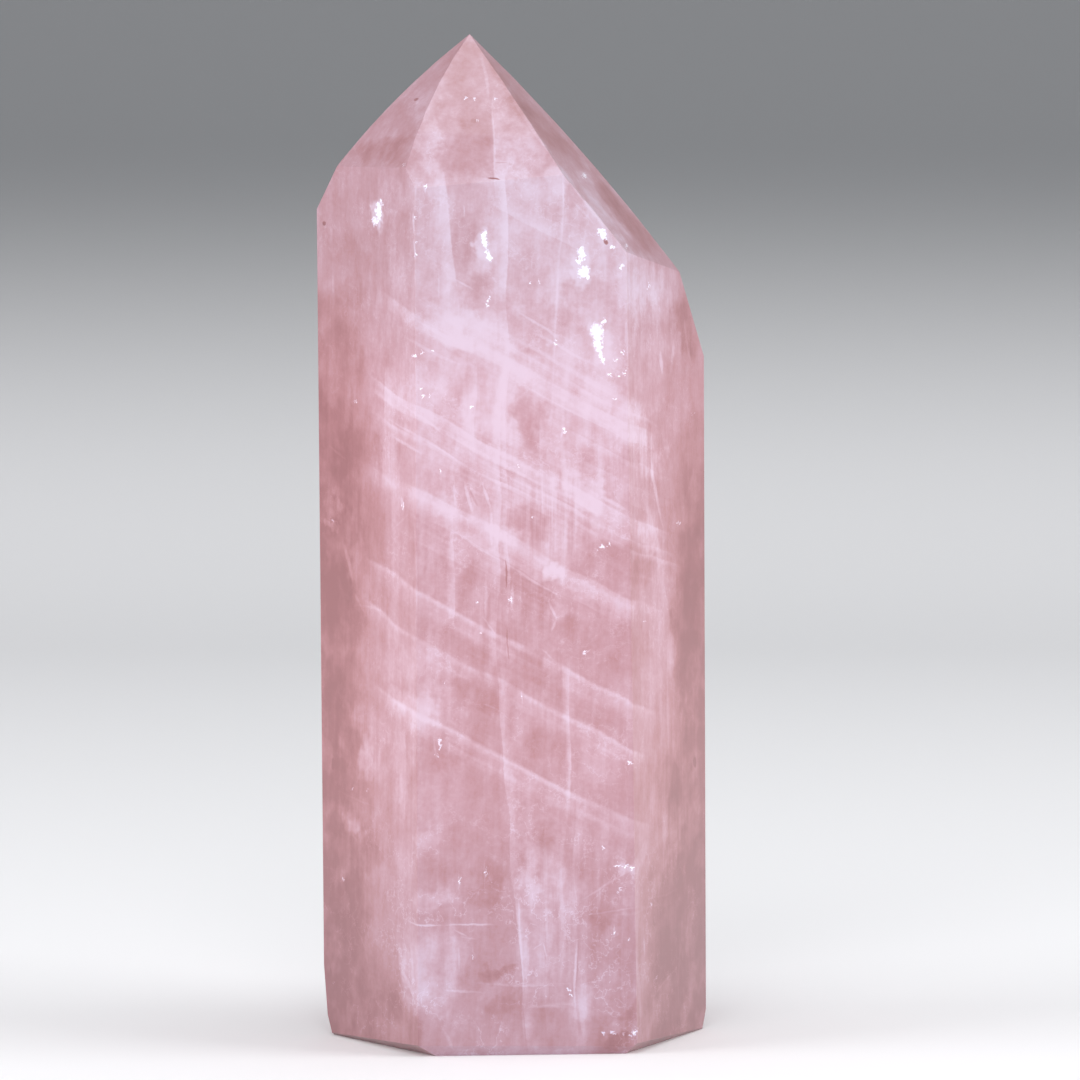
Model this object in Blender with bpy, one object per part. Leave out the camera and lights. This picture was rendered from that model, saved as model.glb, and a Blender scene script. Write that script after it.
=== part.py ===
"""Rose quartz point, ground and polished from one piece. Metres, +Z up, flat base on z = 0.

Every polished face is a cut made with a flat plane. A plane is given by its azimuth in
degrees (0 faces -Y, +90 faces +X), its tilt in degrees (the height of its normal above
the horizon), and its reach from the axis at a stated height.
"""
import math

import bmesh
import bpy
from mathutils import Vector

MM = 0.001

# Rough block
BLOCK_WIDTH = 80 * MM
BLOCK_HEIGHT = 170 * MM

# Apex of the point
APEX = Vector((-6.1 * MM, -3.5 * MM, 150.0 * MM))

# Six long sides: azimuth, tilt, reach at the base
SIDES = [
    (5.1, 0.4, 23.24 * MM),
    (66.2, 0.9, 25.83 * MM),
    (126.0, -0.75, 25.58 * MM),
    (185.0, 0.3, 22.20 * MM),
    (-118.0, -0.75, 23.80 * MM),
    (-57.0, 0.1, 24.75 * MM),
]

# Six faces of the point: azimuth, tilt, length down the slope, crown in the middle
POINT_FACES = [
    (1.3, 41.8, 29.0 * MM, 0.70 * MM),
    (73.3, 40.1, 45.0 * MM, 0.95 * MM),
    (126.8, 35.3, 52.0 * MM, 0.95 * MM),
    (185.0, 41.0, 38.0 * MM, 0.80 * MM),
    (-109.3, 41.4, 32.0 * MM, 1.00 * MM),
    (-56.9, 41.7, 26.5 * MM, 1.00 * MM),
]
PASSES = 5

# Bevels round the base: azimuth, tilt, reach at the base
BASE_BEVELS = [
    (4.5, -33.6, 22.27 * MM),
    (62.7, -47.7, 24.74 * MM),
    (110.0, -20.0, 27.70 * MM),
    (126.0, -40.0, 24.40 * MM),
    (185.0, -40.0, 20.90 * MM),
    (-118.0, -42.0, 22.40 * MM),
    (-51.8, -59.0, 22.99 * MM),
]

# Worn heel at the back left corner: azimuth, tilt, reach, height
HEEL = [
    (-105.0, -6.0, 26.55 * MM, 9.0 * MM),
    (-105.0, -20.0, 25.75 * MM, 2.5 * MM),
]

# Polished edges
EDGE_WIDTH = 0.22 * MM
EDGE_SEGMENTS = 2
EDGE_SHARPER_THAN = 14.0


def outward(azimuth):
    """Level direction that an azimuth faces."""
    angle = math.radians(azimuth)
    return Vector((math.sin(angle), -math.cos(angle), 0.0))


def cut(bm, point, normal):
    """Take away everything in front of a plane and close the face it leaves."""
    geometry = bm.verts[:] + bm.edges[:] + bm.faces[:]
    result = bmesh.ops.bisect_plane(
        bm, geom=geometry, dist=1e-7, plane_co=point, plane_no=normal, clear_outer=True)
    rim = [item for item in result["geom_cut"] if isinstance(item, bmesh.types.BMEdge)]
    open_rim = [edge for edge in rim if edge.is_boundary]
    if open_rim:
        bmesh.ops.contextual_create(bm, geom=open_rim)


def cut_side(bm, azimuth, tilt, reach, height=0.0):
    """Grind one flat face."""
    out = outward(azimuth)
    lean = math.radians(tilt)
    normal = out * math.cos(lean) + Vector((0.0, 0.0, math.sin(lean)))
    cut(bm, out * reach + Vector((0.0, 0.0, height)), normal)


def cut_point_face(bm, azimuth, tilt, length, crown):
    """Grind one face of the point in passes, so that it is slightly domed down its slope."""
    out = outward(azimuth)
    lean = math.radians(tilt)
    up = Vector((0.0, 0.0, 1.0))
    normal = out * math.cos(lean) + up * math.sin(lean)
    down = out * math.sin(lean) - up * math.cos(lean)
    stations = []
    for step in range(PASSES + 1):
        share = step / PASSES
        rise = 4.0 * crown * share * (1.0 - share)
        stations.append(APEX + down * (length * share) + normal * rise)
    for start, end in zip(stations, stations[1:]):
        along = (end - start).normalized()
        across = up.cross(out)
        cut(bm, start, along.cross(across).normalized())


def grind_crystal():
    """Cut the block down to the finished point."""
    bm = bmesh.new()
    bmesh.ops.create_cube(bm, size=1.0)
    bmesh.ops.scale(bm, vec=(BLOCK_WIDTH, BLOCK_WIDTH, BLOCK_HEIGHT), verts=bm.verts)
    bmesh.ops.translate(bm, vec=(0.0, 0.0, BLOCK_HEIGHT / 2), verts=bm.verts)
    for azimuth, tilt, reach in SIDES:
        cut_side(bm, azimuth, tilt, reach)
    for azimuth, tilt, length, crown in POINT_FACES:
        cut_point_face(bm, azimuth, tilt, length, crown)
    for azimuth, tilt, reach in BASE_BEVELS:
        cut_side(bm, azimuth, tilt, reach)
    for azimuth, tilt, reach, height in HEEL:
        cut_side(bm, azimuth, tilt, reach, height)
    bmesh.ops.remove_doubles(bm, verts=bm.verts, dist=0.004 * MM)
    bmesh.ops.recalc_face_normals(bm, faces=bm.faces)
    return bm


def round_edges(bm):
    """Polish the sharp edges to a small flat round."""
    limit = math.radians(EDGE_SHARPER_THAN)
    sharp = [edge for edge in bm.edges if edge.calc_face_angle(0.0) > limit]
    bmesh.ops.bevel(
        bm, geom=sharp, offset=EDGE_WIDTH, offset_type="OFFSET", segments=EDGE_SEGMENTS,
        profile=0.5, affect="EDGES", clamp_overlap=True)
    bmesh.ops.recalc_face_normals(bm, faces=bm.faces)


def stand_on_origin(bm):
    """Put the middle of the outline over the origin and the base on z = 0."""
    low = [min(vert.co[axis] for vert in bm.verts) for axis in range(3)]
    high = [max(vert.co[axis] for vert in bm.verts) for axis in range(3)]
    shift = (-(low[0] + high[0]) / 2, -(low[1] + high[1]) / 2, -low[2])
    bmesh.ops.translate(bm, vec=shift, verts=bm.verts)


def quartz_material():
    material = bpy.data.materials.new("rose_quartz")
    material.use_nodes = True
    shader = material.node_tree.nodes["Principled BSDF"]
    shader.inputs["Base Color"].default_value = (0.80, 0.50, 0.53, 1.0)
    shader.inputs["Roughness"].default_value = 0.08
    shader.inputs["IOR"].default_value = 1.544
    shader.inputs["Transmission Weight"].default_value = 0.5
    return material


def main():
    for old in list(bpy.data.objects):
        bpy.data.objects.remove(old, do_unlink=True)
    collection = bpy.data.collections.new("rose_quartz_point")
    bpy.context.scene.collection.children.link(collection)
    bm = grind_crystal()
    round_edges(bm)
    stand_on_origin(bm)
    mesh = bpy.data.meshes.new("crystal")
    bm.to_mesh(mesh)
    bm.free()
    crystal = bpy.data.objects.new("crystal", mesh)
    crystal.data.materials.append(quartz_material())
    collection.objects.link(crystal)


main()
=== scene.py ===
"""Looks of the rose quartz point: one polished stone with milky veils inside it."""
import math

import bpy
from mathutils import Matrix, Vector


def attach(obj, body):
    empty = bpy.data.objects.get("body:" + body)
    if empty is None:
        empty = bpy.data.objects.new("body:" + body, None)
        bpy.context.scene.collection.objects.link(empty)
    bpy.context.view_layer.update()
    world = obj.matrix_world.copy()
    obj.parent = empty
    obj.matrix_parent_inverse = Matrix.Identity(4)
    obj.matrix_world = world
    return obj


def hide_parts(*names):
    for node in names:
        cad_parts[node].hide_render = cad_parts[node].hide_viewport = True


MM = 0.001

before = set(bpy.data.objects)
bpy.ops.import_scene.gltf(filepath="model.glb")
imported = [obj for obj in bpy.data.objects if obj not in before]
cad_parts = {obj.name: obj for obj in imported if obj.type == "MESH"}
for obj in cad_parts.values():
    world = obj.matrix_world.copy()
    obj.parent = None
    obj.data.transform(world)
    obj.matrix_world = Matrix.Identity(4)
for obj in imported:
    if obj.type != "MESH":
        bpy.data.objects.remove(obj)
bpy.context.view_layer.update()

# The apex and the middle of the base as they were ground, before the stone was centred
APEX = Vector((-6.1, -3.5, 150.0))
CENTRING = Vector((-0.249, 0.492, 0.0))

# Six long sides: azimuth, tilt, reach at the base (mm)
SIDES = [
    (5.1, 0.4, 23.24),
    (66.2, 0.9, 25.83),
    (126.0, -0.75, 25.58),
    (185.0, 0.3, 22.20),
    (-118.0, -0.75, 23.80),
    (-57.0, 0.1, 24.75),
]

# Six faces of the point: azimuth, tilt, length down the slope, crown in the middle (mm)
POINT_FACES = [
    (1.3, 41.8, 29.0, 0.70),
    (73.3, 40.1, 45.0, 0.95),
    (126.8, 35.3, 52.0, 0.95),
    (185.0, 41.0, 38.0, 0.80),
    (-109.3, 41.4, 32.0, 1.00),
    (-56.9, 41.7, 26.5, 1.00),
]
PASSES = 5

# Bevels round the base: azimuth, tilt, reach at the base (mm)
BASE_BEVELS = [
    (4.5, -33.6, 22.27),
    (62.7, -47.7, 24.74),
    (110.0, -20.0, 27.70),
    (126.0, -40.0, 24.40),
    (185.0, -40.0, 20.90),
    (-118.0, -42.0, 22.40),
    (-51.8, -59.0, 22.99),
]

# Worn heel at the back left corner: azimuth, tilt, reach, height (mm)
HEEL = [
    (-105.0, -6.0, 26.55, 9.0),
    (-105.0, -20.0, 25.75, 2.5),
]

# Width of the rounds on the polished edges (mm)
EDGE_WIDTH = 0.24

# The block that the stone is ground from (mm)
BLOCK_WIDTH = 80.0
BLOCK_HEIGHT = 170.0

# The stone is painted in rings, so that each ring's material holds only its own marks: the
# heights between them (mm). The rounded edges have the last material slot
RINGS = [0.0, 27.0, 52.0, 76.0, 100.0, 125.0, 152.0]
EDGE_SLOT = len(RINGS) - 1


# Grinding the stone

def outward(azimuth):
    """Level direction that an azimuth faces: 0 is the front, 90 the right."""
    angle = math.radians(azimuth)
    return Vector((math.sin(angle), -math.cos(angle), 0.0))


def grind(point, normal):
    """One flat cut through the block in edit mode."""
    bpy.ops.mesh.select_all(action="SELECT")
    bpy.ops.mesh.bisect(
        plane_co=(point + CENTRING) * MM, plane_no=normal, use_fill=True,
        clear_outer=True, threshold=1e-7)


def grind_side(azimuth, tilt, reach, height=0.0):
    """A flat cut at a distance from the axis, leaning back by its tilt."""
    out = outward(azimuth)
    lean = math.radians(tilt)
    normal = out * math.cos(lean) + Vector((0.0, 0.0, math.sin(lean)))
    grind(out * reach + Vector((0.0, 0.0, height)), normal)


def grind_point_face(azimuth, tilt, length, crown):
    """A tip face is ground in passes, so that it is slightly domed down its slope."""
    out = outward(azimuth)
    lean = math.radians(tilt)
    up = Vector((0.0, 0.0, 1.0))
    normal = out * math.cos(lean) + up * math.sin(lean)
    down = out * math.sin(lean) - up * math.cos(lean)
    across = up.cross(out)
    stations = []
    for step in range(PASSES + 1):
        share = step / PASSES
        rise = 4.0 * crown * share * (1.0 - share)
        stations.append(APEX + down * (length * share) + normal * rise)
    for start, end in zip(stations, stations[1:]):
        along = (end - start).normalized()
        grind(start, along.cross(across).normalized())


def make_crystal():
    """Grinds the stone from a block, rounds its edges and cuts it into rings."""
    bpy.ops.object.select_all(action="DESELECT")
    bpy.ops.mesh.primitive_cube_add(size=1.0, location=(0.0, 0.0, BLOCK_HEIGHT / 2 * MM))
    stone = bpy.context.object
    stone.name = "polished_point"
    stone.scale = (BLOCK_WIDTH * MM, BLOCK_WIDTH * MM, BLOCK_HEIGHT * MM)
    bpy.ops.object.transform_apply(location=True, rotation=True, scale=True)
    bpy.ops.object.mode_set(mode="EDIT")
    for azimuth, tilt, reach in SIDES:
        grind_side(azimuth, tilt, reach)
    for azimuth, tilt, length, crown in POINT_FACES:
        grind_point_face(azimuth, tilt, length, crown)
    for azimuth, tilt, reach in BASE_BEVELS:
        grind_side(azimuth, tilt, reach)
    for azimuth, tilt, reach, height in HEEL:
        grind_side(azimuth, tilt, reach, height)
    bpy.ops.mesh.select_all(action="SELECT")
    bpy.ops.mesh.remove_doubles(threshold=0.004 * MM)
    bpy.ops.mesh.normals_make_consistent(inside=False)
    bpy.ops.object.mode_set(mode="OBJECT")
    bevel = stone.modifiers.new("polished edges", "BEVEL")
    bevel.limit_method = "ANGLE"
    bevel.angle_limit = math.radians(14.0)
    bevel.width = EDGE_WIDTH * MM
    bevel.segments = 3
    bevel.material = 1
    bpy.ops.object.modifier_apply(modifier=bevel.name)
    bpy.ops.object.mode_set(mode="EDIT")
    for height in RINGS[1:-1]:
        bpy.ops.mesh.select_all(action="SELECT")
        bpy.ops.mesh.bisect(
            plane_co=(0.0, 0.0, height * MM), plane_no=(0.0, 0.0, 1.0), threshold=1e-7)
    bpy.ops.object.mode_set(mode="OBJECT")
    bpy.ops.object.shade_smooth_by_angle(angle=math.radians(35.0))
    weigh = stone.modifiers.new("flat faces stay flat", "WEIGHTED_NORMAL")
    weigh.weight = 100
    weigh.keep_sharp = True
    bpy.ops.object.modifier_apply(modifier=weigh.name)
    return stone


def nearest_tone(tones, azimuth):
    """The tone whose azimuth is closest, all round the circle."""
    return tones[min(tones, key=lambda key: abs((key - azimuth + 180.0) % 360.0 - 180.0))]


def slot_faces(stone):
    """Each face gets its ring's material, and keeps its painted shade in an attribute: lighter or darker,
    and warmer, by the way it faces.
    """
    mesh = stone.data
    tones = mesh.attributes.new("painted_facet_shade", "FLOAT_VECTOR", "CORNER").data
    for face in mesh.polygons:
        if face.material_index == 1:
            face.material_index = EDGE_SLOT
        else:
            height = face.center.z / MM
            face.material_index = sum(height > level for level in RINGS[1:-1])
        azimuth = math.degrees(math.atan2(face.normal.x, -face.normal.y))
        table = SIDE_PAINTED_SHADES
        if face.normal.z > 0.35:
            table = POINT_PAINTED_SHADES
        elif face.normal.z < -0.3:
            table = BEVEL_PAINTED_SHADES
        # Painted shade: the face's lightness and warmth come from the way it faces
        facet_shade_level, shade_warmth = nearest_tone(table, azimuth)
        for corner in face.loop_indices:
            tones[corner].vector = (facet_shade_level, shade_warmth, 0.0)


# Mixing the material

class Mix:
    """Short names for the nodes of one material."""

    def __init__(self, name):
        self.material = bpy.data.materials.new(name)
        self.material.use_nodes = True
        self.tree = self.material.node_tree
        self.shader = self.tree.nodes["Principled BSDF"]
        place = self.node("ShaderNodeTexCoord").outputs["Object"]
        scale = self.node("ShaderNodeVectorMath")
        scale.operation = "SCALE"
        self.link(place, scale.inputs[0])
        scale.inputs["Scale"].default_value = 1000.0
        self.place = scale.outputs[0]

    def node(self, kind):
        return self.tree.nodes.new(kind)

    def link(self, source, socket):
        if isinstance(source, (int, float, tuple)):
            socket.default_value = source
        else:
            self.tree.links.new(source, socket)

    def math(self, operation, a, b=0.0, c=0.0):
        node = self.node("ShaderNodeMath")
        node.operation = operation
        for socket, value in zip(node.inputs, (a, b, c)):
            self.link(value, socket)
        return node.outputs[0]

    def add(self, a, b):
        return self.math("ADD", a, b)

    def sub(self, a, b):
        return self.math("SUBTRACT", a, b)

    def mul(self, a, b):
        return self.math("MULTIPLY", a, b)

    def madd(self, a, b, c):
        return self.math("MULTIPLY_ADD", a, b, c)

    def vector(self, operation, a, b=None, c=None):
        node = self.node("ShaderNodeVectorMath")
        node.operation = operation
        for socket, value in zip(node.inputs, (a, b, c)):
            if value is not None:
                self.link(value, socket)
        return node.outputs["Value" if operation in ("LENGTH", "DOT_PRODUCT") else "Vector"]

    def split(self, value):
        """The three numbers of a place or vector, named X, Y and Z."""
        node = self.node("ShaderNodeSeparateXYZ")
        self.link(value, node.inputs[0])
        return node.outputs

    def thrice(self, value):
        """One number as a vector, so that three marks are worked out at once."""
        node = self.node("ShaderNodeCombineXYZ")
        for socket in node.inputs:
            self.link(value, socket)
        return node.outputs[0]

    def ramp(self, value, low, high, to_low=0.0, to_high=1.0):
        """Value carried softly from low..high to to_low..to_high, held at both ends."""
        node = self.node("ShaderNodeMapRange")
        node.interpolation_type = "SMOOTHSTEP"
        node.clamp = False
        for socket, number in zip(node.inputs[:5], (value, low, high, to_low, to_high)):
            self.link(number, socket)
        return node.outputs[0]

    def ramps(self, value, low, high):
        """Three ramps from 0 to 1 at once."""
        node = self.node("ShaderNodeMapRange")
        node.data_type = "FLOAT_VECTOR"
        node.interpolation_type = "SMOOTHSTEP"
        node.clamp = False
        for socket, numbers in zip(node.inputs[6:9], (value, low, high)):
            self.link(numbers, socket)
        return node.outputs[1]

    def noise(self, scale, detail=2.0, rough=0.5, stretch=(1.0, 1.0, 1.0), turn=0.0, seed=0,
              out="Fac"):
        """Noise over the stone, scale in 1/mm; each seed moves it to a place of its own."""
        spot = self.node("ShaderNodeMapping")
        spot.vector_type = "TEXTURE"
        spot.inputs["Scale"].default_value = stretch
        spot.inputs["Rotation"].default_value = (0.0, math.radians(turn), 0.0)
        spot.inputs["Location"].default_value = (seed * 7.3, seed * 3.1, seed * 5.7)
        self.link(self.place, spot.inputs[0])
        node = self.node("ShaderNodeTexNoise")
        node.inputs["Scale"].default_value = scale
        node.inputs["Detail"].default_value = detail
        node.inputs["Roughness"].default_value = rough
        self.link(spot.outputs[0], node.inputs["Vector"])
        return node.outputs[out]

    def shifted(self, place, reach, scale, detail, rough, seed):
        """A place pushed about by a noise, so that the marks there get uneven edges."""
        push = self.noise(scale, detail, rough, seed=seed, out="Color")
        push = self.vector("SUBTRACT", push, (0.5, 0.5, 0.5))
        return self.vector("MULTIPLY_ADD", push, (reach, reach, reach), place)

    def colours(self, value, stops):
        node = self.node("ShaderNodeValToRGB")
        elements = node.color_ramp.elements
        while len(elements) < len(stops):
            elements.new(0.5)
        for element, (at, colour) in zip(elements, stops):
            element.position = at
            element.color = (*colour, 1.0)
        self.link(value, node.inputs[0])
        return node.outputs["Color"]

    def sheets(self, across, run, height, rows):
        """Strength of flat sheets of haze, and of sheets of painted shade, three at a time. A sheet lies
        where across equals its place, from start to end along run; it may lean with height."""
        total = (0.0, 0.0, 0.0)
        for three in threes(rows):
            at, lean, start, end, strength, below, above = zip(*three)
            coord = across
            if any(lean):
                coord = self.vector("MULTIPLY_ADD", height, tuple(-v for v in lean), across)
            rise = self.ramps(coord, tuple(p - r for p, r in zip(at, below)), at)
            fall = self.ramps(coord, tuple(p + r for p, r in zip(at, above)), at)
            middle = tuple((s + e) / 2 for s, e in zip(start, end))
            half = tuple((e - s) / 2 for s, e in zip(start, end))
            away = self.vector("ABSOLUTE", self.vector("SUBTRACT", run, middle))
            fade = self.ramps(away, tuple(v + SHEET_FADE for v in half), half)
            sheet = self.vector("MULTIPLY", self.vector("MULTIPLY", rise, fall), fade)
            total = self.vector("MULTIPLY_ADD", sheet, strength, total)
        return self.vector("DOT_PRODUCT", total, (1.0, 1.0, 1.0))

    def spots(self, x, z, rows, core=0.0):
        """Strength of egg-shaped spots seen from the front, three at a time. core is the
        share of a spot that is full strength."""
        total = (0.0, 0.0, 0.0)
        for three in threes(rows):
            cx, cz, wide, high, turn, strength = zip(*three)
            cos = [math.cos(math.radians(t)) for t in turn]
            sin = [math.sin(math.radians(t)) for t in turn]
            squares = []
            for by_x, by_z, reach in (
                    (cos, [-s for s in sin], wide), (sin, cos, high)):
                by_x = tuple(b / r for b, r in zip(by_x, reach))
                by_z = tuple(b / r for b, r in zip(by_z, reach))
                shift = tuple(-px * bx - pz * bz for px, pz, bx, bz in zip(cx, cz, by_x, by_z))
                if any(abs(b) > 1e-6 for b in by_z):
                    shift = self.vector("MULTIPLY_ADD", z, by_z, shift)
                if any(abs(b) > 1e-6 for b in by_x):
                    shift = self.vector("MULTIPLY_ADD", x, by_x, shift)
                squares.append(shift)
            across = self.vector("MULTIPLY", squares[0], squares[0])
            away = self.vector("MULTIPLY_ADD", squares[1], squares[1], across)
            spot = self.ramps(away, (1.0, 1.0, 1.0), (core, core, core))
            total = self.vector("MULTIPLY_ADD", spot, strength, total)
        return self.vector("DOT_PRODUCT", total, (1.0, 1.0, 1.0))


def threes(rows):
    """The rows in groups of three, the last filled up with rows of no strength."""
    rows = list(rows)
    while len(rows) % 3:
        blank = list(rows[-1])
        blank[STRENGTH_AT[len(blank)]] = 0.0
        rows.append(tuple(blank))
    return [rows[i:i + 3] for i in range(0, len(rows), 3)]


# Where the strength stands in a row, by the length of the row: a sheet's and a spot's
STRENGTH_AT = {7: 4, 6: 5}

# How far a sheet takes to fade out past its ends (mm)
SHEET_FADE = 3.0

# How far the veils fall for each mm to the right
VEIL_SLOPE = 0.53

# Veils: cracks healed white, all parallel. Each row is its height at x = 0, lean, from x,
# to x, strength, reach of its haze below and above (mm)
VEILS = [
    (123.4, 0.0, -1.0, 8.0, 0.08, 0.15, 3.0),
    (105.4, 0.0, -4.0, 15.0, 0.07, 0.4, 1.4),
    (103.8, 0.0, -2.0, 19.0, 0.08, 0.9, 0.3),
    (101.8, 0.0, -18.0, 19.0, 0.11, 2.4, 0.5),
    (100.6, 0.0, -11.0, 4.0, 0.08, 0.5, 2.2),
    (99.6, 0.0, 1.0, 19.0, 0.12, 0.25, 2.2),
    (96.6, 0.0, 6.0, 21.0, 0.08, 1.6, 0.3),
    (93.2, 0.0, 6.0, 22.0, 0.05, 1.2, 0.3),
    (90.6, 0.0, 2.0, 20.0, 0.04, 0.2, 1.0),
    (88.4, 0.0, -19.0, 21.0, 0.15, 2.3, 0.35),
    (86.6, 0.0, -19.0, 12.0, 0.10, 0.4, 1.0),
    (85.2, 0.0, 2.0, 22.0, 0.08, 0.9, 0.25),
    (83.7, 0.0, -19.0, 23.0, 0.11, 0.9, 0.3),
    (82.2, 0.0, -17.0, 8.0, 0.05, 0.3, 0.9),
    (80.2, 0.0, -5.0, 20.0, 0.04, 0.3, 1.0),
    (76.3, 0.0, -15.0, 20.0, 0.12, 1.8, 0.50),
    (75.3, 0.0, -20.0, 19.0, 0.11, 3.0, 1.0),
    (72.6, 0.0, -9.0, 13.0, 0.07, 0.2, 0.9),
    (68.6, 0.0, -16.0, 6.0, 0.03, 0.3, 1.6),
    (61.4, 0.0, -20.0, 20.0, 0.10, 4.4, 0.40),
    (61.2, 0.0, -20.0, 19.0, 0.07, 0.9, 0.35),
    (59.2, 0.0, -12.0, 12.0, 0.05, 1.6, 0.4),
    (54.6, 0.0, -20.0, 18.0, 0.10, 3.8, 0.40),
    (54.4, 0.0, -20.0, 17.0, 0.07, 0.8, 0.35),
    (52.6, 0.0, -8.0, 15.0, 0.04, 1.2, 0.3),
    (43.5, 0.0, -19.0, 19.0, 0.11, 4.6, 0.45),
    (43.3, 0.0, -19.0, 15.0, 0.07, 0.9, 0.35),
    (41.4, 0.0, -14.0, 16.0, 0.06, 2.0, 0.4),
    (28.0, 0.0, -12.0, 14.0, 0.03, 1.4, 0.3),
]

# Upright sheets, given by their x at z = 0, lean (x for each z), from z, to z, strength,
# reach of the haze to the left and right (mm)
UPRIGHTS = [
    # Both edges are darker, and the dark fades out upwards by steps: painted shade, the deeper pink that
    # the thick sides show in the light
    (-30.0, 0.0, -9.0, 90.0, -0.28, 1.0, 12.0),
    (-30.0, 0.0, -9.0, 98.0, -0.16, 1.0, 12.0),
    (-30.0, 0.0, -9.0, 110.0, -0.14, 1.0, 12.0),
    (29.5, 0.0, -9.0, 42.0, -0.34, 13.0, 1.0),
    (29.5, 0.0, -9.0, 54.0, -0.12, 13.0, 1.0),
    (29.5, 0.0, -9.0, 75.0, -0.28, 8.0, 1.0),
    (29.5, 0.0, -9.0, 83.0, -0.16, 8.0, 1.0),
    (29.5, 0.0, -9.0, 92.0, -0.12, 8.0, 1.0),
    # Broad pale bands and narrow lines
    (5.6, -0.12, 106.0, 128.0, 0.13, 3.4, 0.25),
    (-1.0, 0.0, 97.0, 127.5, 0.16, 1.4, 0.2),
    (-4.6, 0.033, 60.0, 99.0, 0.13, 1.6, 0.25),
    (-0.7, 0.0, 60.0, 100.0, 0.09, 0.8, 0.2),
    (-2.3, 0.0, 128.0, 140.0, 0.10, 0.2, 3.2),
    (2.6, 0.037, 93.0, 129.0, 0.08, 0.4, 0.25),
    (8.6, -0.01, 70.0, 94.0, 0.09, 1.5, 0.4),
    (4.5, 0.0, 75.0, 96.0, 0.05, 0.3, 1.0),
    (12.3, 0.0, 72.0, 98.0, 0.04, 0.3, 1.2),
    (-8.7, 0.0, 66.0, 79.0, 0.09, 1.3, 0.2),
    (-5.4, 0.0, 82.0, 100.0, 0.06, 1.5, 0.25),
    (-19.8, 0.01, 86.0, 100.0, 0.12, 0.2, 3.2),
    (-18.4, 0.01, 50.0, 84.0, 0.05, 0.8, 3.0),
    (-14.4, 0.004, 3.0, 127.0, 0.05, 0.25, 0.2),
    (16.1, 0.013, 3.0, 118.0, 0.04, 0.25, 0.2),
    (-17.9, 0.0, 78.0, 96.0, 0.05, 0.3, 0.2),
    (-15.6, 0.0, 35.0, 50.0, 0.10, 3.0, 0.2),
    (8.2, 0.0, 37.0, 55.0, 0.12, 0.9, 0.2),
    (10.4, -0.03, 4.0, 36.0, 0.09, 0.25, 2.4),
    (9.6, 0.0, 4.0, 26.0, 0.08, 1.4, 0.2),
    (6.9, 0.03, 12.0, 44.0, 0.06, 0.9, 0.2),
    (-3.9, 0.05, 41.0, 60.0, 0.05, 0.25, 1.0),
    (2.1, -0.078, 2.0, 55.0, 0.14, 0.2, 1.9),
    (1.6, -0.04, 2.0, 22.0, 0.10, 0.25, 0.2),
    (4.9, 0.0, 4.0, 34.0, 0.06, 0.2, 1.0),
    (-8.4, -0.02, 6.0, 24.0, 0.04, 0.3, 1.2),
    (33.3, -0.16, 63.0, 86.0, 0.08, 1.8, 0.25),
    (22.6, 0.04, 32.0, 66.0, 0.08, 2.0, 0.3),
    (18.8, 0.12, 24.0, 42.0, 0.08, 1.8, 0.25),
    (25.2, 0.02, 3.0, 28.0, 0.09, 0.5, 0.2),
    (18.6, 0.0, 3.0, 24.0, 0.06, 1.4, 0.2),
    (-16.0, -0.02, 7.0, 30.0, 0.07, 0.4, 3.0),
]

# Level sheets: z, lean, from x, to x, strength, reach below and above (mm)
LEVELS = [
    # Both lower corners are darker: painted shade, as at the sides
    (-1.0, 0.0, -30.0, -14.0, -0.16, 1.0, 22.0),
    (-1.0, 0.0, 14.0, 30.0, -0.16, 1.0, 22.0),
    # Pale lines
    (128.7, 0.0, -9.0, -1.0, 0.06, 1.4, 0.12),
    (19.6, 0.0, -13.5, -5.0, 0.06, 0.3, 0.2),
    (22.0, 0.0, -16.0, 12.0, 0.03, 1.2, 0.3),
    (7.3, 0.0, 3.0, 8.0, 0.06, 0.3, 0.5),
    (20.8, 0.0, 14.0, 24.0, 0.05, 0.3, 0.5),
    (10.5, 0.0, -4.0, 7.0, 0.04, 0.2, 0.2),
]
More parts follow.
